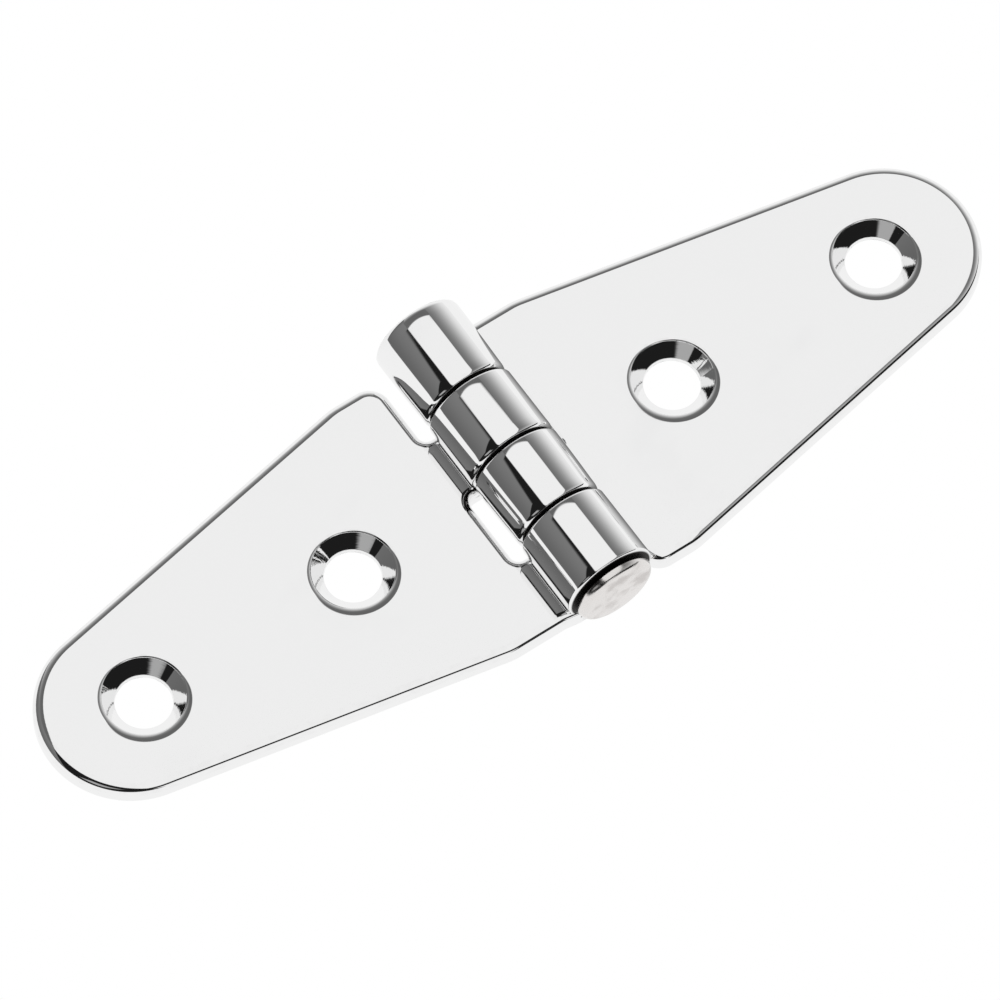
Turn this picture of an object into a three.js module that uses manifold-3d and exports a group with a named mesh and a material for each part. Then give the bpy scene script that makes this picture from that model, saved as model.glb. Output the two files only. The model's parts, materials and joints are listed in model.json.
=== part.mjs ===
// Strap hinge: two tapered leaves rolled round one headed pin. They differ only
// in how far the outermost knuckle stands out past the leaf.
// Millimetres, +Z up. X runs along the leaves, Y along the pin.

import * as THREE from 'three';
import { mergeVertices } from 'three/addons/utils/BufferGeometryUtils.js';
import Module from 'manifold-3d';

const wasm = await Module();
wasm.setup();

// Overall sizes
const overallLength = 102;
const leafWidth = 30;
const sheet = 2;

// Pin and the roll round it
const pinRadius = 2.5;
const pinClearance = 0.06;
const nearProud = 0.2;
const farProud = 1.05;
const knucklePitch = 7.4;
const knuckleGap = 0.3;
const knuckleRound = 0.55;
const barrelEndRound = 0.6;
const seamGap = 0.35;
const seamLap = 3;

// Pin head and far end
const headInset = 0.6;
const headHeight = 0.95;
const headDome = 0.12;
const headRound = 0.5;
const headGap = 0.4;
const pinSetback = 0.3;
const pinChamfer = 0.4;

// Leaf outline
const parallelEnd = 10.2;
const bendRound = 6;
const endRadius = 8.85;
const slotClearance = 0.44;
const slotRound = 0.8;
const cornerRound = 2.2;
const edgeRound = 1;
const flareStart = 4.6;
const flareEnd = 3.2;

// Screw holes
const innerHole = 17.8;
const outerHole = 40.7;
const holeRadius = 2.65;
const rimRadius = 4.7;
const rimRound = 1;
const sinkHalfAngle = Math.PI / 4;

// Facets
const rollSteps = 40;
const turnSteps = 40;
const cornerSteps = 6;
const endSteps = 24;
const roundSteps = 4;

// Sizes that follow from the ones above
const boreRadius = pinRadius + pinClearance;
const barrelRadius = boreRadius + sheet;
const axisHeight = barrelRadius;
const nearEnd = leafWidth / 2 + nearProud;
const farEnd = leafWidth / 2 + farProud;
const slotEdge = barrelRadius + slotClearance;
const headRadius = barrelRadius - headInset;
const headFace = nearEnd + headGap + headHeight;
const outerStart = knucklePitch + knuckleGap / 2;
const innerKnuckle = [knuckleGap / 2 - knucklePitch, -knuckleGap / 2];

// Turns a closed geometry into a solid that can be cut and joined.
function toSolid(geometry) {
  const bare = geometry.clone();
  bare.deleteAttribute('normal');
  bare.deleteAttribute('uv');
  const merged = mergeVertices(bare, 1e-5);
  return new wasm.Manifold(new wasm.Mesh({
    numProp: 3,
    vertProperties: new Float32Array(merged.attributes.position.array),
    triVerts: new Uint32Array(merged.index.array),
  }));
}

// Turns a solid back into a geometry with flat faces.
function toGeometry(solid) {
  const mesh = solid.getMesh();
  const geometry = new THREE.BufferGeometry();
  geometry.setAttribute('position', new THREE.BufferAttribute(mesh.vertProperties, 3));
  geometry.setIndex(new THREE.BufferAttribute(mesh.triVerts, 1));
  geometry.computeVertexNormals();
  return geometry;
}

// Points of a polygon whose corners are [x, y, radius, steps].
function roundedOutline(corners) {
  const points = [];
  corners.forEach(([x, y, radius, steps], index) => {
    const here = new THREE.Vector2(x, y);
    const before = corners[(index + corners.length - 1) % corners.length];
    const after = corners[(index + 1) % corners.length];
    if (radius === 0) {
      points.push(here);
      return;
    }
    const back = new THREE.Vector2(before[0], before[1]).sub(here).normalize();
    const ahead = new THREE.Vector2(after[0], after[1]).sub(here).normalize();
    const half = Math.acos(back.dot(ahead)) / 2;
    const middle = back.clone().add(ahead).normalize();
    const centre = here.clone().addScaledVector(middle, radius / Math.sin(half));
    const start = here.clone().addScaledVector(back, radius / Math.tan(half)).sub(centre);
    const turn = Math.sign(start.cross(middle.clone().negate())) * (Math.PI - 2 * half);
    for (let step = 0; step <= steps; step += 1) {
      const spoke = start.clone().rotateAround(new THREE.Vector2(), turn * step / steps);
      points.push(spoke.add(centre));
    }
  });
  return points;
}

// Angle between the leaf's long edge and X, with the edge tangent to the end.
function taperAngle() {
  const run = overallLength / 2 - endRadius - parallelEnd;
  const rise = leafWidth / 2;
  return Math.atan2(rise, run) - Math.asin(endRadius / Math.hypot(run, rise));
}

// Outline of the leaf on the +X side, with its two tabs reaching to the pin
// and the outer one ending at the given place along Y.
function leafOutline(outerEnd) {
  const half = leafWidth / 2;
  const meet = overallLength / 2 - endRadius + endRadius / Math.sin(taperAngle());
  return roundedOutline([
    [0, innerKnuckle[0], 0],
    [slotEdge, innerKnuckle[0], slotRound, cornerSteps],
    [slotEdge, -half, cornerRound, cornerSteps],
    [parallelEnd, -half, bendRound, cornerSteps],
    [meet, 0, endRadius, endSteps],
    [parallelEnd, half, bendRound, cornerSteps],
    [flareStart, half, 0],
    [flareEnd, outerEnd, 0],
    [0, outerEnd, 0],
    [0, outerStart, 0],
    [slotEdge, outerStart, slotRound, cornerSteps],
    [slotEdge, innerKnuckle[1], slotRound, cornerSteps],
    [0, innerKnuckle[1], 0],
  ]);
}

// Flat plate with its top edges rounded and its underside square.
function plate(outerEnd) {
  const raised = new THREE.ExtrudeGeometry(new THREE.Shape(leafOutline(outerEnd)), {
    depth: sheet,
    bevelThickness: edgeRound,
    bevelSize: edgeRound,
    bevelOffset: -edgeRound,
    bevelSegments: roundSteps,
  });
  raised.translate(0, 0, -edgeRound);
  const below = new THREE.BoxGeometry(2 * overallLength, 2 * leafWidth, 4 * sheet);
  below.translate(0, 0, -2 * sheet);
  return toSolid(raised).subtract(toSolid(below));
}

// Section of the sheet rolled round the pin, ending just above the plate.
function rollSection() {
  const seam = Math.asin((barrelRadius - sheet - seamGap) / barrelRadius);
  const sweep = 1.5 * Math.PI + seam;
  const points = [];
  for (let step = 0; step <= rollSteps; step += 1) {
    const angle = -Math.PI / 2 - sweep * step / rollSteps;
    points.push([barrelRadius * Math.cos(angle), axisHeight + barrelRadius * Math.sin(angle)]);
  }
  for (let step = rollSteps; step >= 0; step -= 1) {
    const angle = -Math.PI / 2 - sweep * step / rollSteps;
    points.push([boreRadius * Math.cos(angle), axisHeight + boreRadius * Math.sin(angle)]);
  }
  points.push([seamLap, sheet], [seamLap, 0]);
  return new THREE.Shape(points.map(([x, z]) => new THREE.Vector2(x, z)));
}

// Solid of revolution that leaves a knuckle's ends rounded.
function knuckleEnvelope([low, high], [lowRound, highRound]) {
  const outside = barrelRadius + sheet;
  const profile = [[0, low]];
  for (let step = 0; step <= roundSteps; step += 1) {
    const angle = Math.PI / 2 * step / roundSteps;
    profile.push([
      barrelRadius - lowRound + lowRound * Math.sin(angle),
      low + lowRound - lowRound * Math.cos(angle),
    ]);
  }
  profile.push([outside, low + lowRound], [outside, high - highRound]);
  for (let step = 0; step <= roundSteps; step += 1) {
    const angle = Math.PI / 2 * step / roundSteps;
    profile.push([
      barrelRadius - highRound + highRound * Math.cos(angle),
      high - highRound + highRound * Math.sin(angle),
    ]);
  }
  profile.push([0, high]);
  const turned = new THREE.LatheGeometry(profile.map(([r, y]) => new THREE.Vector2(r, y)), turnSteps);
  turned.translate(0, 0, axisHeight);
  return toSolid(turned);
}

// One knuckle between two places along Y, with a rounding for each end.
function knuckle([low, high], rounds) {
  const roll = new THREE.ExtrudeGeometry(rollSection(), { depth: high - low, bevelEnabled: false });
  roll.rotateX(Math.PI / 2);
  roll.translate(0, high, 0);
  return toSolid(roll).intersect(knuckleEnvelope([low, high], rounds));
}

// Cutter for a countersunk screw hole, its mouth eased into the plate.
function screwHole(x) {
  const coneRadius = rimRadius - rimRound * Math.cos(sinkHalfAngle);
  const coneHeight = sheet - rimRound * (1 - Math.sin(sinkHalfAngle));
  const landHeight = coneHeight - (coneRadius - holeRadius) / Math.tan(sinkHalfAngle);
  const profile = [[0, -sheet], [holeRadius, -sheet], [holeRadius, landHeight]];
  for (let step = 0; step <= roundSteps; step += 1) {
    const angle = Math.PI - sinkHalfAngle
      + (sinkHalfAngle - Math.PI / 2) * step / roundSteps;
    profile.push([rimRadius + rimRound * Math.cos(angle), sheet - rimRound + rimRound * Math.sin(angle)]);
  }
  profile.push([rimRadius, 2 * sheet], [0, 2 * sheet]);
  const cutter = new THREE.LatheGeometry(profile.map(([r, z]) => new THREE.Vector2(r, z)), turnSteps);
  cutter.rotateX(Math.PI / 2);
  cutter.translate(x, 0, 0);
  return toSolid(cutter);
}

// The whole leaf on the +X side, in one piece of sheet.
function leafGeometry(outerEnd) {
  const rolled = plate(outerEnd)
    .add(knuckle([outerStart, outerEnd], [knuckleRound, barrelEndRound]))
    .add(knuckle(innerKnuckle, [knuckleRound, knuckleRound]));
  return toGeometry(rolled.subtract(screwHole(innerHole)).subtract(screwHole(outerHole)));
}

// Headed pin along Y, its head at the -Y end.
function pinGeometry() {
  const tip = farEnd - pinSetback;
  const faceRadius = headRadius - headRound;
  const domeRadius = (faceRadius ** 2 + headDome ** 2) / (2 * headDome);
  const profile = [];
  for (let step = 0; step < roundSteps; step += 1) {
    const radius = faceRadius * step / roundSteps;
    profile.push([radius, domeRadius - headFace - Math.sqrt(domeRadius ** 2 - radius ** 2)]);
  }
  for (let step = 0; step <= roundSteps; step += 1) {
    const angle = -Math.PI / 2 + Math.PI / 2 * step / roundSteps;
    profile.push([
      faceRadius + headRound * Math.cos(angle),
      headDome + headRound - headFace + headRound * Math.sin(angle),
    ]);
  }
  profile.push(
    [headRadius, headHeight - headFace],
    [pinRadius, headHeight - headFace],
    [pinRadius, tip - pinChamfer],
    [pinRadius - pinChamfer, tip],
    [0, tip],
  );
  const pin = new THREE.LatheGeometry(profile.map(([r, y]) => new THREE.Vector2(r, y)), turnSteps);
  pin.translate(0, 0, axisHeight);
  return pin;
}

const polished = { metalness: 1, roughness: 0.05 };

const leafRight = new THREE.Mesh(
  leafGeometry(farEnd),
  new THREE.MeshStandardMaterial({ color: 0xd9dadb, ...polished }),
);
leafRight.name = 'leaf_right';

const leafLeft = new THREE.Mesh(
  leafGeometry(nearEnd),
  new THREE.MeshStandardMaterial({ color: 0xd8d9da, ...polished }),
);
leafLeft.name = 'leaf_left';
leafLeft.rotation.z = Math.PI;

const hingePin = new THREE.Mesh(
  pinGeometry(),
  new THREE.MeshStandardMaterial({ color: 0xc9c4c0, metalness: 1, roughness: 0.18 }),
);
hingePin.name = 'hinge_pin';

// The origin is midway between the pin head's face and the barrel's far end.
const assembly = new THREE.Group();
assembly.position.y = (headFace - farEnd) / 2;
assembly.add(leafRight, leafLeft, hingePin);

const hinge = new THREE.Group();
hinge.add(assembly);

export default hinge;
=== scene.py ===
import json
import math

import bmesh
import bpy
from mathutils import Matrix, Vector


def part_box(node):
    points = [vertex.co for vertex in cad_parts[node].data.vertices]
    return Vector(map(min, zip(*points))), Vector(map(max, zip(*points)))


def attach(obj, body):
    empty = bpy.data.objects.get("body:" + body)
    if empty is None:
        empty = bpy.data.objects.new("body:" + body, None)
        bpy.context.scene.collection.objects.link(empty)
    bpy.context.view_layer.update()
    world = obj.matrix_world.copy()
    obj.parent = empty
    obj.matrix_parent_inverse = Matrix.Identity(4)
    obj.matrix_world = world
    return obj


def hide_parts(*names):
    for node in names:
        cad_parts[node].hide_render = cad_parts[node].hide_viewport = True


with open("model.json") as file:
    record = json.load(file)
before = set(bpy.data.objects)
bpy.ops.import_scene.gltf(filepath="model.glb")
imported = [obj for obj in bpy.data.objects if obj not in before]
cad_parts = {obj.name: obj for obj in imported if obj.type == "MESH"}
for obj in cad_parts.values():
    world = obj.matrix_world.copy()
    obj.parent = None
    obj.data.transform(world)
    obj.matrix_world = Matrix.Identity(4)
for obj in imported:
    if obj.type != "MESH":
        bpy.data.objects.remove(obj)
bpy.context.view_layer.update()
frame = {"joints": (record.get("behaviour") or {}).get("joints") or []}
mm = 0.001
tiny = 1e-4
print("frame loaded")


# pieces are drawn in millimetres and brought to metres when they are finished
def boxInMm(name):
    low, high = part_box(name)
    return Vector(low) / mm, Vector(high) / mm


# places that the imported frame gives
pinPoint = Vector(frame["joints"][0]["pos_m"]) / mm
rightLow, rightHigh = boxInMm("leaf_right")
leftLow = boxInMm("leaf_left")[0]
pinLow, pinHigh = boxInMm("hinge_pin")
barrelRadius = pinPoint.z
halfWidth = pinPoint.y - rightLow.y
leafTip = rightHigh.x


cameraSettings = {
    "azimuth": -38.99,
    "elevation": 62.55,
    "roll": 4.65,
    "distance": 0.9446,
    "lens": 371.5,
    "sensor": 36,
    "shiftX": -0.0131,
    "shiftY": -0.0173,
    "clip": (0.01, 20),
}


def addCamera(settings):
    data = bpy.data.cameras.new("camera")
    data.lens = settings["lens"]
    data.sensor_width = settings["sensor"]
    data.shift_x = settings["shiftX"]
    data.shift_y = settings["shiftY"]
    data.clip_start, data.clip_end = settings["clip"]
    camera = bpy.data.objects.new("camera", data)
    turn = math.radians(settings["azimuth"])
    rise = math.radians(settings["elevation"])
    back = Vector((math.sin(turn) * math.cos(rise), -math.cos(turn) * math.cos(rise), math.sin(rise)))
    aim = Vector((0, pinPoint.y * mm, 0))
    facing = (-back).to_track_quat("-Z", "Y").to_matrix().to_4x4()
    roll = Matrix.Rotation(math.radians(settings["roll"]), 4, "Z")
    camera.matrix_world = Matrix.Translation(aim + back * settings["distance"]) @ facing @ roll
    bpy.context.scene.collection.objects.link(camera)
    bpy.context.scene.camera = camera


# each cloth of the light tent spans two leans from straight up, towards +X and towards +Y, in degrees;
# "high" and "low" are how bright it is near the roof and near the table
studioCloths = [
    {"name": "roof", "x": (-29, 32), "y": (-60, 25), "soft": 1.0, "high": 0.92, "low": 0.92},
    {"name": "rightWall", "x": (32, 100), "y": (-60, 100), "soft": 2.0, "high": 0.16, "low": 0.87},
    {"name": "farWall", "x": (-29, 32), "y": (25, 100), "soft": 1.0, "high": 0.13, "low": 0.6},
    {"name": "leftWall", "x": (-100, -29), "y": (25.5, 100), "soft": 1.0, "high": 0.2, "low": 0.13},
    {"name": "leftCard", "x": (-68, -50), "y": (-55, -22), "soft": 3.0, "high": 0.4, "low": 0.4},
    {"name": "frontTable", "x": (-45, 50), "y": (-90, -76), "soft": 2.0, "high": 0.92, "low": 0.92},
]

studioSettings = {
    "gaps": 0.012,       # brightness of the dark gaps between the cloths
    "table": 0.95,       # brightness of the table round the horizon
    "tableRise": 0.05,   # sine of the angle above the horizon where its brightness ends
    "tentRise": 0.85,    # sine of the angle where a cloth comes to its "high" brightness
    "floor": 1.0,
    "floorReflected": 0.94,
    "floorSize": 8.0,
    "floorDrop": 0.02,   # how far under the leaves it lies, in millimetres
}


def newNode(tree, kind, place, **values):
    node = tree.nodes.new(kind)
    node.location = place
    for name, value in values.items():
        setattr(node, name, value)
    return node


def connect(tree, value, socket):
    if isinstance(value, bpy.types.NodeSocket):
        tree.links.new(value, socket)
    else:
        socket.default_value = value


def mathNode(tree, operation, place, first, second=0.0):
    node = newNode(tree, "ShaderNodeMath", place, operation=operation)
    connect(tree, first, node.inputs[0])
    connect(tree, second, node.inputs[1])
    return node.outputs[0]


def stepNode(tree, place, value, start, end, low=0.0, high=1.0):
    node = newNode(tree, "ShaderNodeMapRange", place, interpolation_type="SMOOTHSTEP")
    given = {"Value": value, "From Min": start, "From Max": end, "To Min": low, "To Max": high}
    for name, amount in given.items():
        connect(tree, amount, node.inputs[name])
    return node.outputs["Result"]


# a Mix node holds sockets for every kind of value, and 6, 7 and 2 are those for colours
def mixColour(tree, place, share, first, second):
    node = newNode(tree, "ShaderNodeMix", place, data_type="RGBA")
    connect(tree, share, node.inputs["Factor"])
    connect(tree, first, node.inputs[6])
    connect(tree, second, node.inputs[7])
    return node.outputs[2]


def grey(value):
    return (value, value, value, 1)


# mask of a soft-edged cloth, from the leans of a direction
def makeClothGroup():
    group = bpy.data.node_groups.new("studioCloth", "ShaderNodeTree")
    for name in ("LeanX", "LeanY", "FromX", "ToX", "FromY", "ToY", "Soft"):
        group.interface.new_socket(name, in_out="INPUT", socket_type="NodeSocketFloat")
    group.interface.new_socket("Mask", in_out="OUTPUT", socket_type="NodeSocketFloat")
    start = newNode(group, "NodeGroupInput", (-900, 0))
    end = newNode(group, "NodeGroupOutput", (700, 0))
    soft = start.outputs["Soft"]
    mask = 1.0
    for row, side in enumerate("XY"):
        lean = start.outputs["Lean" + side]
        for column, (limit, sign) in enumerate((("From", 1), ("To", -1))):
            place = (-600 + 300 * column, -300 * row)
            past = mathNode(group, "SUBTRACT", place, lean, start.outputs[limit + side])
            inside = mathNode(group, "MULTIPLY", place, past, sign)
            edge = stepNode(group, place, inside, mathNode(group, "MULTIPLY", place, soft, -1), soft)
            mask = mathNode(group, "MULTIPLY", place, edge, mask)
    group.links.new(mask, end.inputs["Mask"])
    return group


# reflections see a light tent on a white table, and the camera sees plain white
def addStudio(settings, cloths):
    world = bpy.data.worlds.new("studio")
    bpy.context.scene.world = world
    world.use_nodes = True
    tree = world.node_tree
    tree.nodes.clear()
    place = newNode(tree, "ShaderNodeTexCoord", (-1800, 0))
    split = newNode(tree, "ShaderNodeSeparateXYZ", (-1600, 0))
    tree.links.new(place.outputs["Generated"], split.inputs[0])
    x, y, z = split.outputs
    leanX = mathNode(tree, "DEGREES", (-1200, 200), mathNode(tree, "ARCTAN2", (-1400, 200), x, z))
    leanY = mathNode(tree, "DEGREES", (-1200, 0), mathNode(tree, "ARCTAN2", (-1400, 0), y, z))
    height = stepNode(tree, (-1200, -200), z, 0.0, settings["tentRise"])
    colour = grey(settings["gaps"])
    group = makeClothGroup()
    for number, cloth in enumerate(cloths):
        across = -900 + 250 * number
        mask = newNode(tree, "ShaderNodeGroup", (across, -100), node_tree=group)
        mask.label = cloth["name"]
        values = (leanX, leanY, *cloth["x"], *cloth["y"], cloth["soft"])
        for socket, value in zip(mask.inputs, values):
            connect(tree, value, socket)
        light = mixColour(tree, (across, 150), height, grey(cloth["low"]), grey(cloth["high"]))
        colour = mixColour(tree, (across, 350), mask.outputs[0], colour, light)
    rise = stepNode(tree, (600, -200), z, settings["tableRise"] / 2, settings["tableRise"])
    colour = mixColour(tree, (700, 0), rise, grey(settings["table"]), colour)
    reflected = newNode(tree, "ShaderNodeBackground", (900, 0))
    tree.links.new(colour, reflected.inputs["Color"])
    seen = newNode(tree, "ShaderNodeBackground", (900, -150))
    seen.inputs["Color"].default_value = grey(1)
    path = newNode(tree, "ShaderNodeLightPath", (900, 300))
    pick = newNode(tree, "ShaderNodeMixShader", (1150, 0))
    out = newNode(tree, "ShaderNodeOutputWorld", (1350, 0))
    tree.links.new(path.outputs["Is Camera Ray"], pick.inputs[0])
    tree.links.new(reflected.outputs[0], pick.inputs[1])
    tree.links.new(seen.outputs[0], pick.inputs[2])
    tree.links.new(pick.outputs[0], out.inputs["Surface"])


def addFloor(settings):
    bm = bmesh.new()
    bmesh.ops.create_grid(bm, x_segments=1, y_segments=1, size=settings["floorSize"] / 2)
    mesh = bpy.data.meshes.new("floor")
    bm.to_mesh(mesh)
    bm.free()
    floor = bpy.data.objects.new("floor", mesh)
    floor.location.z = -settings["floorDrop"] * mm
    bpy.context.scene.collection.objects.link(floor)
    material = bpy.data.materials.new("paleFloor")
    material.use_nodes = True
    tree = material.node_tree
    tree.nodes.clear()
    path = newNode(tree, "ShaderNodeLightPath", (-400, 0))
    brightness = newNode(tree, "ShaderNodeMix", (-200, 0), data_type="FLOAT")
    connect(tree, path.outputs["Is Camera Ray"], brightness.inputs["Factor"])
    connect(tree, settings["floorReflected"], brightness.inputs[2])     # 2 and 3 take plain numbers
    connect(tree, settings["floor"], brightness.inputs[3])
    glow = newNode(tree, "ShaderNodeEmission", (0, 0))
    glow.inputs["Color"].default_value = grey(1)
    connect(tree, brightness.outputs[0], glow.inputs["Strength"])
    out = newNode(tree, "ShaderNodeOutputMaterial", (300, 0))
    tree.links.new(glow.outputs[0], out.inputs["Surface"])
    mesh.materials.append(material)


# the picture is shown without a film look, so that white cloth stays white
bpy.context.scene.view_settings.view_transform = "Standard"
addCamera(cameraSettings)
addStudio(studioSettings, studioCloths)
addFloor(studioSettings)
print("camera and studio ready")


def vertsOf(parts):
    return [part for part in parts if isinstance(part, bmesh.types.BMVert)]


def facesOf(parts):
    return [part for part in parts if isinstance(part, bmesh.types.BMFace)]


# profiles and outlines are drawn with a pen, which is the last vertex drawn
def startPen(bm, place):
    return bmesh.ops.create_vert(bm, co=place)["vert"][0]


def drawLine(bm, pen, place):
    moved = bmesh.ops.extrude_vert_indiv(bm, verts=[pen])["verts"][0]
    moved.co = place
    return moved


def drawArc(bm, pen, centre, axis, angle, steps):
    turned = bmesh.ops.spin(bm, geom=[pen], cent=centre, axis=axis, angle=angle, steps=steps)
    return vertsOf(turned["geom_last"])[0]


def roundCorner(bm, corner, radius, steps):
    back, ahead = [edge.other_vert(corner).co - corner.co for edge in corner.link_edges]
    reach = radius / math.tan(back.angle(ahead) / 2)
    bmesh.ops.bevel(bm, geom=[corner], affect="VERTICES", offset=reach, offset_type="OFFSET",
                    segments=steps, profile=0.5, material=-1, clamp_overlap=False)


surfaceSettings = {
    "levelMargin": 1e-6,    # how far below 1 the upward part of a level face's normal may be
    "levelWeight": 1e6,     # how much more than its area a level face counts in the shading
    "wornFrom": 0.5,        # how tightly the metal turns where wear starts, in radians per millimetre
    "wornRange": 0.8,       # how much tighter it turns where wear is full
    "gapShadeBefore": 0.5,   # how far the painted gap shade starts before the barrel, under the pin's head
    "gapShadeAfter": 0.7,    # how far it stops short of the barrel's free end
    "gapShadeFacing": 0.95,  # how squarely a face must look along the barrel to get the painted gap shade
    "gapShadeReach": 0.6,    # how much of the barrel's radius gets the painted gap shade whichever way it faces
}


def isLevel(face):
    return abs(face.normal.z) > 1 - surfaceSettings["levelMargin"]


# level faces keep their own direction up to their edges, and the rest share theirs by area
def shadingNormal(vert):
    total = Vector()
    for face in vert.link_faces:
        total += face.normal * face.calc_area() * (surfaceSettings["levelWeight"] if isLevel(face) else 1)
    return total.normalized()


# 0 on flats and on the barrel, 1 where the metal turns tightly outwards
def tightness(vert):
    if any(isLevel(face) for face in vert.link_faces):
        return 0
    tightest = 0
    for edge in vert.link_edges:
        near, far = [face.calc_center_median() for face in edge.link_faces]
        tightest = max(tightest, edge.calc_face_angle_signed(0) / max((near - far).length, tiny))
    return min(1, max(0, (tightest - surfaceSettings["wornFrom"]) / surfaceSettings["wornRange"]))


# 1 between the knuckles, in their bores and under the pin's head: painted shade, the shadow that falls in
# the gaps
def paintGapShade(vert, normal):
    across = math.hypot(vert.co.x, vert.co.z - barrelRadius)
    start = leftLow.y - surfaceSettings["gapShadeBefore"]
    end = rightHigh.y - surfaceSettings["gapShadeAfter"]
    inBarrel = across < barrelRadius and start < vert.co.y < end
    facesAlong = abs(normal.y) > surfaceSettings["gapShadeFacing"]
    return 1 if inBarrel and (facesAlong or across < surfaceSettings["gapShadeReach"] * barrelRadius) else 0


def finishMesh(bm, name, material):
    bm.normal_update()
    normals = [shadingNormal(vert) for vert in bm.verts]
    worn = [tightness(vert) for vert in bm.verts]
    # mask of the painted gap shade, kept as a vertex attribute
    gapShadeMask = [paintGapShade(vert, normal) for vert, normal in zip(bm.verts, normals)]
    bmesh.ops.scale(bm, vec=(mm, mm, mm), verts=bm.verts[:])
    mesh = bpy.data.meshes.new(name)
    bm.to_mesh(mesh)
    bm.free()
    for face in mesh.polygons:
        face.use_smooth = True
    mesh.normals_split_custom_set_from_vertices(normals)
    for label, values in (("worn", worn), ("gapShadeMask", gapShadeMask)):
        mesh.attributes.new(label, "FLOAT", "POINT").data.foreach_set("value", values)
    mesh.materials.append(material)
    piece = bpy.data.objects.new(name, mesh)
    bpy.context.scene.collection.objects.link(piece)
    return piece


leafSettings = {
    "sheet": 2.0,
    "parallelEnd": 10.2,
    "bendRound": 6.0,
    "bendSteps": 8,
    "tipRadius": 8.85,
    "tipSteps": 48,
    "slotGap": 0.44,
    "slotRound": 0.8,
    "slotSteps": 10,
    "cornerRound": 2.2,
    "cornerSteps": 14,
    "flareStart": 4.6,
    "flareEnd": 3.2,
    "flareRound": 2.5,
    "flareSteps": 6,
    "topRound": 1.0,
    "topSteps": 8,
    "bottomRound": 0.12,
    "bottomSteps": 3,
    "tabCut": 3.0,                      # where the tabs' faces are split from the plate's
    "knucklePitch": 7.4,
    "knuckleGap": 0.3,
    "boreRound": 0.25,
    "seamGap": 0.35,
    "seamRound": 0.25,
    "seamSteps": 4,
    "rollSteps": 96,
    "acrossSteps": 10,
    "narrowAfter": math.radians(50),    # how far round the roll a knuckle reaches its full slimming
}

# what differs between the leaves: the turn round the pin's middle, the outermost knuckle's end and its
# rounding, the other roundings at the knuckles' low and high ends, and how much slimmer a knuckle
# gets towards its low end
rightEnds = {
    "turn": 0,
    "outerEnd": rightHigh.y - pinPoint.y,
    "endRound": 0.6,
    "lowRound": 0.55,
    "highRound": 0.25,
    "narrowing": 0.14,
}
leftEnds = {
    "turn": math.pi,
    "outerEnd": pinPoint.y - leftLow.y,
    "endRound": 0.3,
    "lowRound": 0.25,
    "highRound": 0.55,
    "narrowing": 0.02,
}

holeSettings = {
    "places": (17.8, 40.7),
    "radius": 2.65,
    "rimRadius": 4.5,
    "rimShift": (-0.22, -0.27, 0),  # polishing dragged every rim this way
    "flatStrip": 0.12,              # width of the level ring round each rim
    "dishRun": 0.28,                # the flat first sinks gently, then turns sharply into the cone
    "dishAngle": math.radians(7),
    "dishSteps": 6,
    "rimRound": 0.62,
    "rimSteps": 10,
    "sinkAngle": math.radians(45),
    "landRound": 0.12,
    "landSteps": 3,
    "exitRound": 0.2,
    "turnSteps": 96,
}


def taperAngle(settings):
    run = leafTip - settings["tipRadius"] - settings["parallelEnd"]
    return math.atan2(halfWidth, run) - math.asin(settings["tipRadius"] / math.hypot(run, halfWidth))


# flat outline of a leaf on the +X side, its tabs ending under the pin's centre line
def drawLeafOutline(bm, settings, ends):
    taper = taperAngle(settings)
    slot = barrelRadius + settings["slotGap"]
    nearTab = -settings["knucklePitch"] + settings["knuckleGap"] / 2
    middle = -settings["knuckleGap"] / 2
    farTab = settings["knucklePitch"] + settings["knuckleGap"] / 2
    tipCentre = Vector((leafTip - settings["tipRadius"], 0, 0))
    outerEnd = ends["outerEnd"]
    tangent = tipCentre + settings["tipRadius"] * Vector((math.sin(taper), -math.cos(taper), 0))

    first = startPen(bm, (0, nearTab, 0))
    nearSlot = drawLine(bm, first, (slot, nearTab, 0))
    corner = drawLine(bm, nearSlot, (slot, -halfWidth, 0))
    nearBend = drawLine(bm, corner, (settings["parallelEnd"], -halfWidth, 0))
    pen = drawLine(bm, nearBend, tangent)
    pen = drawArc(bm, pen, tipCentre, (0, 0, 1), math.pi - 2 * taper, settings["tipSteps"])
    farBend = drawLine(bm, pen, (settings["parallelEnd"], halfWidth, 0))
    flareStart = drawLine(bm, farBend, (settings["flareStart"], halfWidth, 0))
    flareEnd = drawLine(bm, flareStart, (settings["flareEnd"], outerEnd, 0))
    pen = drawLine(bm, flareEnd, (0, outerEnd, 0))
    pen = drawLine(bm, pen, (0, farTab, 0))
    farSlot = drawLine(bm, pen, (slot, farTab, 0))
    middleSlot = drawLine(bm, farSlot, (slot, middle, 0))
    last = drawLine(bm, middleSlot, (0, middle, 0))
    bmesh.ops.contextual_create(bm, geom=[last, first])
    bmesh.ops.edgeloop_fill(bm, edges=bm.edges[:])

    for vert in (nearSlot, farSlot, middleSlot):
        roundCorner(bm, vert, settings["slotRound"], settings["slotSteps"])
    roundCorner(bm, corner, settings["cornerRound"], settings["cornerSteps"])
    for vert in (nearBend, farBend):
        roundCorner(bm, vert, settings["bendRound"], settings["bendSteps"])
    for vert in (flareStart, flareEnd):
        roundCorner(bm, vert, settings["flareRound"], settings["flareSteps"])
    return [(nearTab, middle, ends["lowRound"], ends["highRound"]),
            (farTab, outerEnd, ends["lowRound"], ends["endRound"])]


def atTabEnd(vert):
    return abs(vert.co.x) < tiny


def isAtHeight(part, height):
    return all(abs(vert.co.z - height) < tiny for vert in part.verts)


# the edges round a leaf's outline, without those where its tabs end
def edgesAtHeight(bm, height):
    return [edge for edge in bm.edges
            if isAtHeight(edge, height) and not all(atTabEnd(vert) for vert in edge.verts)]


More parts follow.
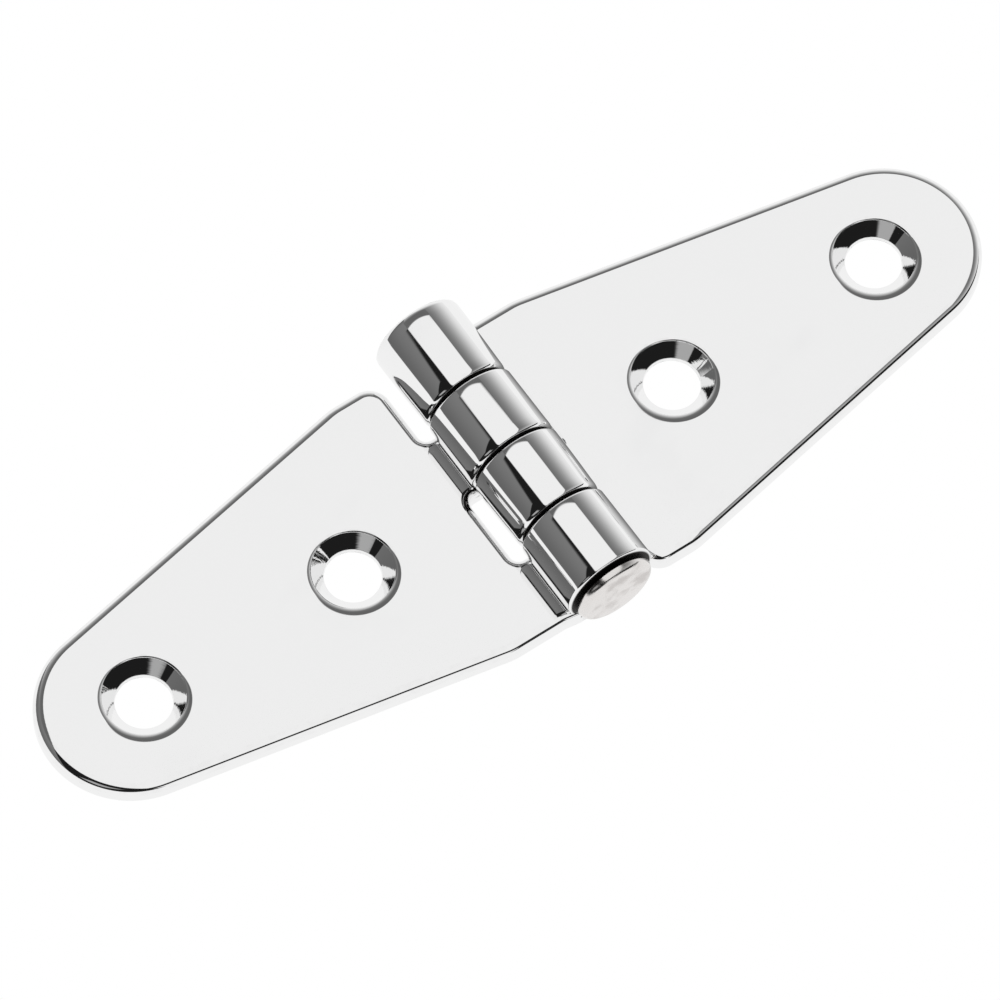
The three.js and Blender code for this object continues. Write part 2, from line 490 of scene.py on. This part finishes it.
# sheet with a full rounding along its top edge and a small one underneath
def thickenLeaf(bm, settings):
    raised = bmesh.ops.extrude_face_region(bm, geom=bm.faces[:])["geom"]
    bmesh.ops.translate(bm, vec=(0, 0, settings["sheet"]), verts=vertsOf(raised))
    bmesh.ops.recalc_face_normals(bm, faces=bm.faces[:])
    for height, side in ((settings["sheet"], "top"), (0, "bottom")):
        bmesh.ops.bevel(bm, geom=edgesAtHeight(bm, height), affect="EDGES", offset=settings[side + "Round"],
                        offset_type="OFFSET", segments=settings[side + "Steps"], profile=0.5, material=-1,
                        clamp_overlap=False, face_strength_mode="NEW")


# a rounding at one corner of a tab's end grows or shrinks to a wanted size, and keeps its shape
def resizeRounding(bm, y, z, radius, wanted):
    corner = Vector((0, y, z))
    near = [vert for vert in bm.verts if atTabEnd(vert) and (vert.co - corner).length < radius + tiny]
    share = wanted / radius
    bmesh.ops.scale(bm, vec=(1, share, share), space=Matrix.Translation(-corner), verts=near)


# the tab's end goes round the pin, and its last edge stops just above the plate
def rollTab(bm, settings, low, high, lowRound, highRound):
    sheet = settings["sheet"]
    for y, wanted in ((low, lowRound), (high, highRound)):
        resizeRounding(bm, y, 0, settings["bottomRound"], wanted)
        resizeRounding(bm, y, sheet, settings["topRound"], settings["boreRound"])
    end = [face for face in bm.faces if all(atTabEnd(vert) and low - tiny < vert.co.y < high + tiny
                                            for vert in face.verts)][0]
    outer = max((edge for edge in end.edges if isAtHeight(edge, 0)), key=lambda edge: edge.calc_length())
    bmesh.ops.subdivide_edges(bm, edges=[outer], cuts=settings["acrossSteps"] - 1)
    seam = math.asin((barrelRadius - sheet - settings["seamGap"]) / barrelRadius)
    turn = 1.5 * math.pi + seam - settings["seamRound"] / barrelRadius
    ring = [end, *end.edges, *end.verts]
    rolled = bmesh.ops.spin(bm, geom=ring, cent=(0, 0, barrelRadius), axis=(0, 1, 0), angle=turn,
                            steps=settings["rollSteps"])
    bmesh.ops.recalc_face_normals(bm, faces=bm.faces[:])
    roundTip(bm, facesOf(rolled["geom_last"])[0], settings["seamRound"], settings["seamSteps"])


# the end face is drawn out in steps, each a little smaller than the last
def roundTip(bm, tip, radius, steps):
    out = tip.normal.copy()
    along = Vector((0, 1, 0))
    across = out.cross(along)
    centre = tip.calc_center_bounds()
    width = 2 * max(abs((vert.co - centre).dot(along)) for vert in tip.verts)
    depth = 2 * max(abs((vert.co - centre).dot(across)) for vert in tip.verts)
    space = Matrix((along, across, out)).to_4x4() @ Matrix.Translation(-centre)
    inset = rise = 0
    for step in range(1, steps + 1):
        angle = math.pi / 2 * step / steps
        nextInset = radius * (1 - math.cos(angle))
        nextRise = radius * math.sin(angle)
        drawn = bmesh.ops.extrude_face_region(bm, geom=[tip, *tip.edges, *tip.verts])["geom"]
        verts = vertsOf(drawn)
        tip = facesOf(drawn)[0]
        shrink = [(size - 2 * nextInset) / (size - 2 * inset) for size in (width, depth)]
        bmesh.ops.scale(bm, vec=(*shrink, 1), space=space, verts=verts)
        bmesh.ops.translate(bm, vec=out * (nextRise - rise), verts=verts)
        inset, rise = nextInset, nextRise


# each knuckle is rolled a little tighter towards one end
def narrowKnuckle(bm, settings, narrowing, low, high):
    sheet = settings["sheet"]
    centre = Vector((0, 0, barrelRadius))
    for vert in bm.verts:
        across = Vector((vert.co.x, 0, vert.co.z)) - centre
        outside = across.length > barrelRadius - sheet / 2 and low - tiny < vert.co.y < high + tiny
        if outside and (vert.co.x < tiny * 10 or vert.co.z > sheet):
            angle = math.atan2(-across.x, -across.z) % (2 * math.pi)
            onset = min(1, angle / settings["narrowAfter"])
            share = ((high - vert.co.y) / (high - low)) ** 2
            vert.co -= across.normalized() * narrowing * share * onset


# wall of a countersunk hole, turned from its profile
def cutHole(bm, settings, x, sheet, turn):
    radius = settings["radius"]
    rim = settings["rimRadius"]
    outer = rim + settings["flatStrip"]
    sink = settings["sinkAngle"]
    dish = settings["dishAngle"]
    dishRadius = settings["dishRun"] / math.sin(dish)
    first = startPen(bm, (x + outer, 0, sheet))
    pen = drawLine(bm, first, (x + rim, 0, sheet))
    pen = drawArc(bm, pen, (x + rim, 0, sheet - dishRadius), (0, 1, 0), -dish, settings["dishSteps"])
    centre = pen.co - Vector((-math.sin(dish), 0, math.cos(dish))) * settings["rimRound"]
    pen = drawArc(bm, pen, centre, (0, 1, 0), dish - sink, settings["rimSteps"])
    coneRadius = pen.co.x - x
    coneHeight = pen.co.z
    land = coneHeight - (coneRadius - radius) / math.tan(sink)
    throat = drawLine(bm, pen, (x + radius, 0, land))
    pen = drawLine(bm, throat, (x + radius, 0, settings["exitRound"]))
    pen = drawLine(bm, pen, (x + radius + settings["exitRound"], 0, 0))
    profile = [first]
    edges = []
    while profile[-1] is not pen:
        edge = [link for link in profile[-1].link_edges if link not in edges][0]
        edges.append(edge)
        profile.append(edge.other_vert(profile[-1]))
    bmesh.ops.spin(bm, geom=profile + edges, cent=(x, 0, 0), axis=(0, 0, 1), angle=2 * math.pi,
                   steps=settings["turnSteps"], use_merge=True)
    shift = Matrix.Rotation(-turn, 3, "Z") @ Vector(settings["rimShift"])
    for vert in bm.verts:
        reach = math.hypot(vert.co.x - x, vert.co.y)
        if vert.co.z > coneHeight - tiny and coneRadius < reach < outer + tiny:
            vert.co += shift * min(1, (reach - coneRadius) / (rim - coneRadius))
    ring = [vert for vert in bm.verts if abs(math.hypot(vert.co.x - x, vert.co.y) - radius) < tiny * 10]
    throatEdges = [edge for edge in bm.edges
                   if isAtHeight(edge, throat.co.z) and all(vert in ring for vert in edge.verts)]
    bmesh.ops.bevel(bm, geom=throatEdges, affect="EDGES", offset=settings["landRound"], offset_type="OFFSET",
                    segments=settings["landSteps"], profile=0.5, material=-1)


# the two flat faces come off before the holes are cut, and new ones go in round them
def openFlats(bm, settings):
    bmesh.ops.recalc_face_normals(bm, faces=bm.faces[:])
    for height in (settings["sheet"], 0):
        level = [face for face in bm.faces if isAtHeight(face, height)]
        flat = max(level, key=lambda face: face.calc_area())
        bmesh.ops.delete(bm, geom=[flat], context="FACES_ONLY")


def closeFlats(bm, settings):
    for height in (settings["sheet"], 0):
        rim = [edge for edge in bm.edges if edge.is_boundary and isAtHeight(edge, height)]
        bmesh.ops.triangle_fill(bm, edges=rim, use_beauty=True, normal=(0, 0, 1))


def modelLeaf(name, settings, holes, ends, material):
    bm = bmesh.new()
    tabs = drawLeafOutline(bm, settings, ends)
    thickenLeaf(bm, settings)
    everything = bm.verts[:] + bm.edges[:] + bm.faces[:]
    bmesh.ops.bisect_plane(bm, geom=everything, plane_co=(settings["tabCut"], 0, 0), plane_no=(1, 0, 0),
                           dist=tiny)
    openFlats(bm, settings)
    for x in holes["places"]:
        cutHole(bm, holes, x, settings["sheet"], ends["turn"])
    closeFlats(bm, settings)
    for tab in tabs:
        rollTab(bm, settings, *tab)
        narrowKnuckle(bm, settings, ends["narrowing"], *tab[:2])
    bmesh.ops.recalc_face_normals(bm, faces=bm.faces[:])
    bmesh.ops.rotate(bm, cent=(0, 0, 0), matrix=Matrix.Rotation(ends["turn"], 3, "Z"), verts=bm.verts[:])
    bmesh.ops.translate(bm, vec=(0, pinPoint.y, 0), verts=bm.verts[:])
    return finishMesh(bm, name, material)


pinSettings = {
    "radius": 2.5,
    "headHeight": 0.95,
    "headRound": 0.75,
    "headSteps": 10,
    "domeAngle": math.radians(4),       # slope of the head's face where its rounding starts
    "domeSteps": 12,
    "underRound": 0.1,
    "underSteps": 3,
    "farRound": 0.4,
    "farSteps": 6,
    "turnSteps": 96,
}


def modelPin(name, settings, material):
    bm = bmesh.new()
    headRadius = (pinHigh.x - pinLow.x) / 2
    face = pinLow.y
    far = pinHigh.y
    z = barrelRadius
    headRound = settings["headRound"]
    farRound = settings["farRound"]
    under = settings["underRound"]
    dome = settings["domeAngle"]
    quarter = math.pi / 2
    domeRadius = (headRadius - headRound) / math.sin(dome) + headRound
    pen = startPen(bm, (0, face, z))
    pen = drawArc(bm, pen, (0, face + domeRadius, z), (0, 0, 1), dome, settings["domeSteps"])
    centre = pen.co + Vector((-math.sin(dome), math.cos(dome), 0)) * headRound
    pen = drawArc(bm, pen, centre, (0, 0, 1), quarter - dome, settings["headSteps"])
    pen = drawLine(bm, pen, (headRadius, face + settings["headHeight"] - under, z))
    pen = drawArc(bm, pen, (headRadius - under, pen.co.y, z), (0, 0, 1), quarter, settings["underSteps"])
    pen = drawLine(bm, pen, (settings["radius"], pen.co.y, z))
    pen = drawLine(bm, pen, (settings["radius"], far - farRound, z))
    centre = (settings["radius"] - farRound, far - farRound, z)
    pen = drawArc(bm, pen, centre, (0, 0, 1), quarter, settings["farSteps"])
    pen = drawLine(bm, pen, (0, far, z))
    bmesh.ops.spin(bm, geom=bm.verts[:] + bm.edges[:], cent=(0, 0, z), axis=(0, 1, 0), angle=2 * math.pi,
                   steps=settings["turnSteps"], use_merge=True)
    bmesh.ops.remove_doubles(bm, verts=bm.verts[:], dist=tiny * 10)
    bmesh.ops.recalc_face_normals(bm, faces=bm.faces[:])
    return finishMesh(bm, name, material)


effectSettings = {
    "smudgeTop": 0.85,      # noise above this is smudged when the cover is 0, and above less as it grows
    "smudgeDrop": 0.5,
    "smudgeSoft": 0.2,
    "wearPatches": (0.4, 0.65),
    "ringEdge": 0.94,       # share of their reach where the rings start to fade
}


def startGroup(name, inputs, output):
    group = bpy.data.node_groups.new(name, "ShaderNodeTree")
    for label, value in inputs.items():
        kind = "NodeSocketVector" if isinstance(value, tuple) else "NodeSocketFloat"
        group.interface.new_socket(label, in_out="INPUT", socket_type=kind).default_value = value
    group.interface.new_socket(output, in_out="OUTPUT", socket_type="NodeSocketFloat")
    start = newNode(group, "NodeGroupInput", (-1000, 0))
    end = newNode(group, "NodeGroupOutput", (800, 0))
    return group, start.outputs, end.inputs[output]


def noiseNode(tree, place, vector, scale, detail):
    node = newNode(tree, "ShaderNodeTexNoise", place)
    connect(tree, vector, node.inputs["Vector"])
    connect(tree, scale, node.inputs["Scale"])
    node.inputs["Detail"].default_value = detail
    return node.outputs["Fac"]


# fine uneven lines, long where the stretch is small; runs from -1 to 1
def makePolishLines():
    group, given, out = startGroup("polishLines", {"Vector": (0, 0, 0), "Stretch": (1, 1, 1)}, "Lines")
    stretched = newNode(group, "ShaderNodeVectorMath", (-700, 0), operation="MULTIPLY")
    connect(group, given["Vector"], stretched.inputs[0])
    connect(group, given["Stretch"], stretched.inputs[1])
    noise = noiseNode(group, (-400, 0), stretched.outputs[0], 1.0, 3.0)
    centred = mathNode(group, "SUBTRACT", (-100, 0), noise, 0.5)
    connect(group, mathNode(group, "MULTIPLY", (200, 0), centred, 2.0), out)
    return group


# soft patches left by handling
def makeSmudges():
    group, given, out = startGroup("smudges", {"Vector": (0, 0, 0), "Size": 5.0, "Cover": 0.5}, "Mask")
    scale = mathNode(group, "DIVIDE", (-700, 0), 1.0, given["Size"])
    noise = noiseNode(group, (-400, 0), given["Vector"], scale, 4.0)
    drop = mathNode(group, "MULTIPLY", (-700, -200), given["Cover"], effectSettings["smudgeDrop"])
    start = mathNode(group, "SUBTRACT", (-400, -200), effectSettings["smudgeTop"], drop)
    end = mathNode(group, "ADD", (-200, -200), start, effectSettings["smudgeSoft"])
    connect(group, stepNode(group, (0, 0), noise, start, end), out)
    return group


# edges rubbed dull in places
def makeEdgeWear():
    inputs = {"Worn": 0.0, "Vector": (0, 0, 0), "Size": 1.0, "Amount": 0.5}
    group, given, out = startGroup("edgeWear", inputs, "Mask")
    scale = mathNode(group, "DIVIDE", (-700, 0), 1.0, given["Size"])
    noise = noiseNode(group, (-400, 0), given["Vector"], scale, 4.0)
    patches = stepNode(group, (-100, 0), noise, *effectSettings["wearPatches"])
    strength = mathNode(group, "MULTIPLY", (200, -200), given["Worn"], given["Amount"])
    connect(group, mathNode(group, "MULTIPLY", (500, 0), patches, strength), out)
    return group


# rings a turning tool leaves within reach of a centre; runs from -1 to 1
def makeTurnedRings():
    group, given, out = startGroup("turnedRings", {"Distance": 0.0, "Spacing": 0.2, "Reach": 4.0}, "Rings")
    spaced = mathNode(group, "DIVIDE", (-700, 0), given["Distance"], given["Spacing"])
    noise = newNode(group, "ShaderNodeTexNoise", (-400, 0), noise_dimensions="1D")
    connect(group, spaced, noise.inputs["W"])
    noise.inputs["Scale"].default_value = 1.0
    noise.inputs["Detail"].default_value = 2.0
    centred = mathNode(group, "SUBTRACT", (-100, 0), noise.outputs["Fac"], 0.5)
    rings = mathNode(group, "MULTIPLY", (100, 0), centred, 2.0)
    inner = mathNode(group, "MULTIPLY", (-400, -300), given["Reach"], effectSettings["ringEdge"])
    reached = stepNode(group, (100, -300), given["Distance"], inner, given["Reach"], 1.0, 0.0)
    connect(group, mathNode(group, "MULTIPLY", (500, 0), rings, reached), out)
    return group


effects = {
    "lines": makePolishLines(),
    "smudges": makeSmudges(),
    "wear": makeEdgeWear(),
    "rings": makeTurnedRings(),
}

steelSettings = {
    "colour": (0.925, 0.925, 0.925, 1),
    "smudged": (0.86, 0.86, 0.865, 1),
    "smudge": 0.3,
    "wornColour": (0.8, 0.8, 0.8, 1),
    "roughness": 0.03,
    "lineStretch": (0.15, 5.0, 5.0),
    "lineDepth": 0.04,
    "smudgeSize": 9.0,
    "smudgeCover": 0.55,
    "wearSize": 0.9,
    "wear": 0.35,
    "ringSpacing": 0.16,
    "ringReach": 4.1,
    "ringDepth": 0.9,
}

pinSteelSettings = {
    "colour": (0.79, 0.765, 0.75, 1),
    "smudged": (0.52, 0.49, 0.475, 1),
    "smudge": 0.75,
    "wornColour": (0.82, 0.8, 0.78, 1),
    "roughness": 0.13,
    "lineStretch": (3.0, 0.6, 3.0),
    "lineDepth": 0.5,
    "smudgeSize": 2.2,
    "smudgeCover": 0.75,
    "wearSize": 0.7,
    "wear": 0.6,
    "ringSpacing": 0.3,
    "ringReach": 6.0,
    "ringDepth": 1.6,
}

# what handling, wear, polish and the painted gap shade add to a steel, whichever steel it is
addedSettings = {
    "smudgeRoughness": 0.03,
    "wornRoughness": 0.15,
    "lineRoughness": 0.015,
    "gapRoughness": 0.55,
    # near-black painted shade for the gaps between the knuckles, the bores and under the pin's head
    "paintedGapShade": (0.03, 0.028, 0.026, 1),
    "bumpUnit": 0.001,      # height of one unit of lines or rings, in millimetres
}


def groupNode(tree, place, group, **values):
    node = newNode(tree, "ShaderNodeGroup", place, node_tree=group)
    for name, value in values.items():
        connect(tree, value, node.inputs[name])
    return node.outputs[0]


def attributeNode(tree, place, name):
    return newNode(tree, "ShaderNodeAttribute", place, attribute_name=name).outputs["Fac"]


# adds a share of an amount to a total
def addShare(tree, place, total, share, amount):
    added = mathNode(tree, "MULTIPLY", (place[0] - 100, place[1]), share, amount)
    return mathNode(tree, "ADD", place, added, total)


# distance in millimetres from the nearest of some centres, each given by its places on two axes
def distanceNode(tree, across, up, centres):
    nearest = None
    for number, centre in enumerate(centres):
        place = (-900, -400 - 150 * number)
        offsets = [mathNode(tree, "SUBTRACT", place, *pair) for pair in zip((across, up), centre)]
        squares = [mathNode(tree, "MULTIPLY", place, value, value) for value in offsets]
        distance = mathNode(tree, "SQRT", place, mathNode(tree, "ADD", place, *squares))
        nearest = distance if nearest is None else mathNode(tree, "MINIMUM", place, nearest, distance)
    return nearest


# steel with tool rings round some centres, given by |x| and their place on the up axis
def makeSteel(name, settings, centres, upAxis):
    material = bpy.data.materials.new(name)
    material.use_nodes = True
    tree = material.node_tree
    shader = tree.nodes["Principled BSDF"]
    shader.inputs["Metallic"].default_value = 1
    coords = newNode(tree, "ShaderNodeTexCoord", (-1500, 0))
    inMm = newNode(tree, "ShaderNodeVectorMath", (-1300, 0), operation="SCALE")
    tree.links.new(coords.outputs["Object"], inMm.inputs[0])
    inMm.inputs["Scale"].default_value = 1 / mm
    spot = inMm.outputs[0]
    split = newNode(tree, "ShaderNodeSeparateXYZ", (-1100, -300))
    tree.links.new(spot, split.inputs[0])
    across = mathNode(tree, "ABSOLUTE", (-1000, -300), split.outputs["X"])
    distance = distanceNode(tree, across, split.outputs[upAxis], centres)
    lines = groupNode(tree, (-600, 300), effects["lines"], Vector=spot, Stretch=settings["lineStretch"])
    smudge = groupNode(tree, (-600, 100), effects["smudges"], Vector=spot, Size=settings["smudgeSize"],
                       Cover=settings["smudgeCover"])
    wear = groupNode(tree, (-600, -100), effects["wear"], Worn=attributeNode(tree, (-900, -100), "worn"),
                     Vector=spot, Size=settings["wearSize"], Amount=settings["wear"])
    rings = groupNode(tree, (-600, -300), effects["rings"], Distance=distance,
                      Spacing=settings["ringSpacing"], Reach=settings["ringReach"])
    # mask of the painted gap shade between the knuckles, in the bores and under the pin's head
    gapShade = attributeNode(tree, (-900, -700), "gapShadeMask")

    film = mathNode(tree, "MULTIPLY", (-400, 300), smudge, settings["smudge"])
    colour = mixColour(tree, (-300, 300), film, settings["colour"], settings["smudged"])
    colour = mixColour(tree, (-200, 300), wear, colour, settings["wornColour"])
    # painted shade: the gaps are darkened to near black
    colour = mixColour(tree, (-100, 300), gapShade, colour, addedSettings["paintedGapShade"])
    tree.links.new(colour, shader.inputs["Base Color"])

    uneven = mathNode(tree, "ABSOLUTE", (-450, -100), lines)
    rough = addShare(tree, (-300, 0), settings["roughness"], smudge, addedSettings["smudgeRoughness"])
    rough = addShare(tree, (-250, -50), rough, wear, addedSettings["wornRoughness"])
    rough = addShare(tree, (-200, -100), rough, uneven, addedSettings["lineRoughness"])
    rough = addShare(tree, (-150, -150), rough, gapShade, addedSettings["gapRoughness"])
    tree.links.new(rough, shader.inputs["Roughness"])

    ringHeight = mathNode(tree, "MULTIPLY", (-400, -350), rings, settings["ringDepth"])
    height = addShare(tree, (-300, -300), ringHeight, lines, settings["lineDepth"])
    bump = newNode(tree, "ShaderNodeBump", (-150, -300))
    bump.inputs["Distance"].default_value = addedSettings["bumpUnit"] * mm
    tree.links.new(height, bump.inputs["Height"])
    tree.links.new(bump.outputs["Normal"], shader.inputs["Normal"])
    return material


holeCentres = [(x, pinPoint.y) for x in holeSettings["places"]]
polishedSteel = makeSteel("polishedSteel", steelSettings, holeCentres, "Y")
pinSteel = makeSteel("pinSteel", pinSteelSettings, [(0, barrelRadius)], "Z")
print("metals ready")

rightLeaf = modelLeaf("rightLeaf", leafSettings, holeSettings, rightEnds, polishedSteel)
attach(rightLeaf, "right_leaf")
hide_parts("leaf_right")
leftLeaf = modelLeaf("leftLeaf", leafSettings, holeSettings, leftEnds, polishedSteel)
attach(leftLeaf, "left_leaf")
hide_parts("leaf_left")
print("leaves made")

hingePin = modelPin("hingePin", pinSettings, pinSteel)
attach(hingePin, "left_leaf")
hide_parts("hinge_pin")
print("pin made")
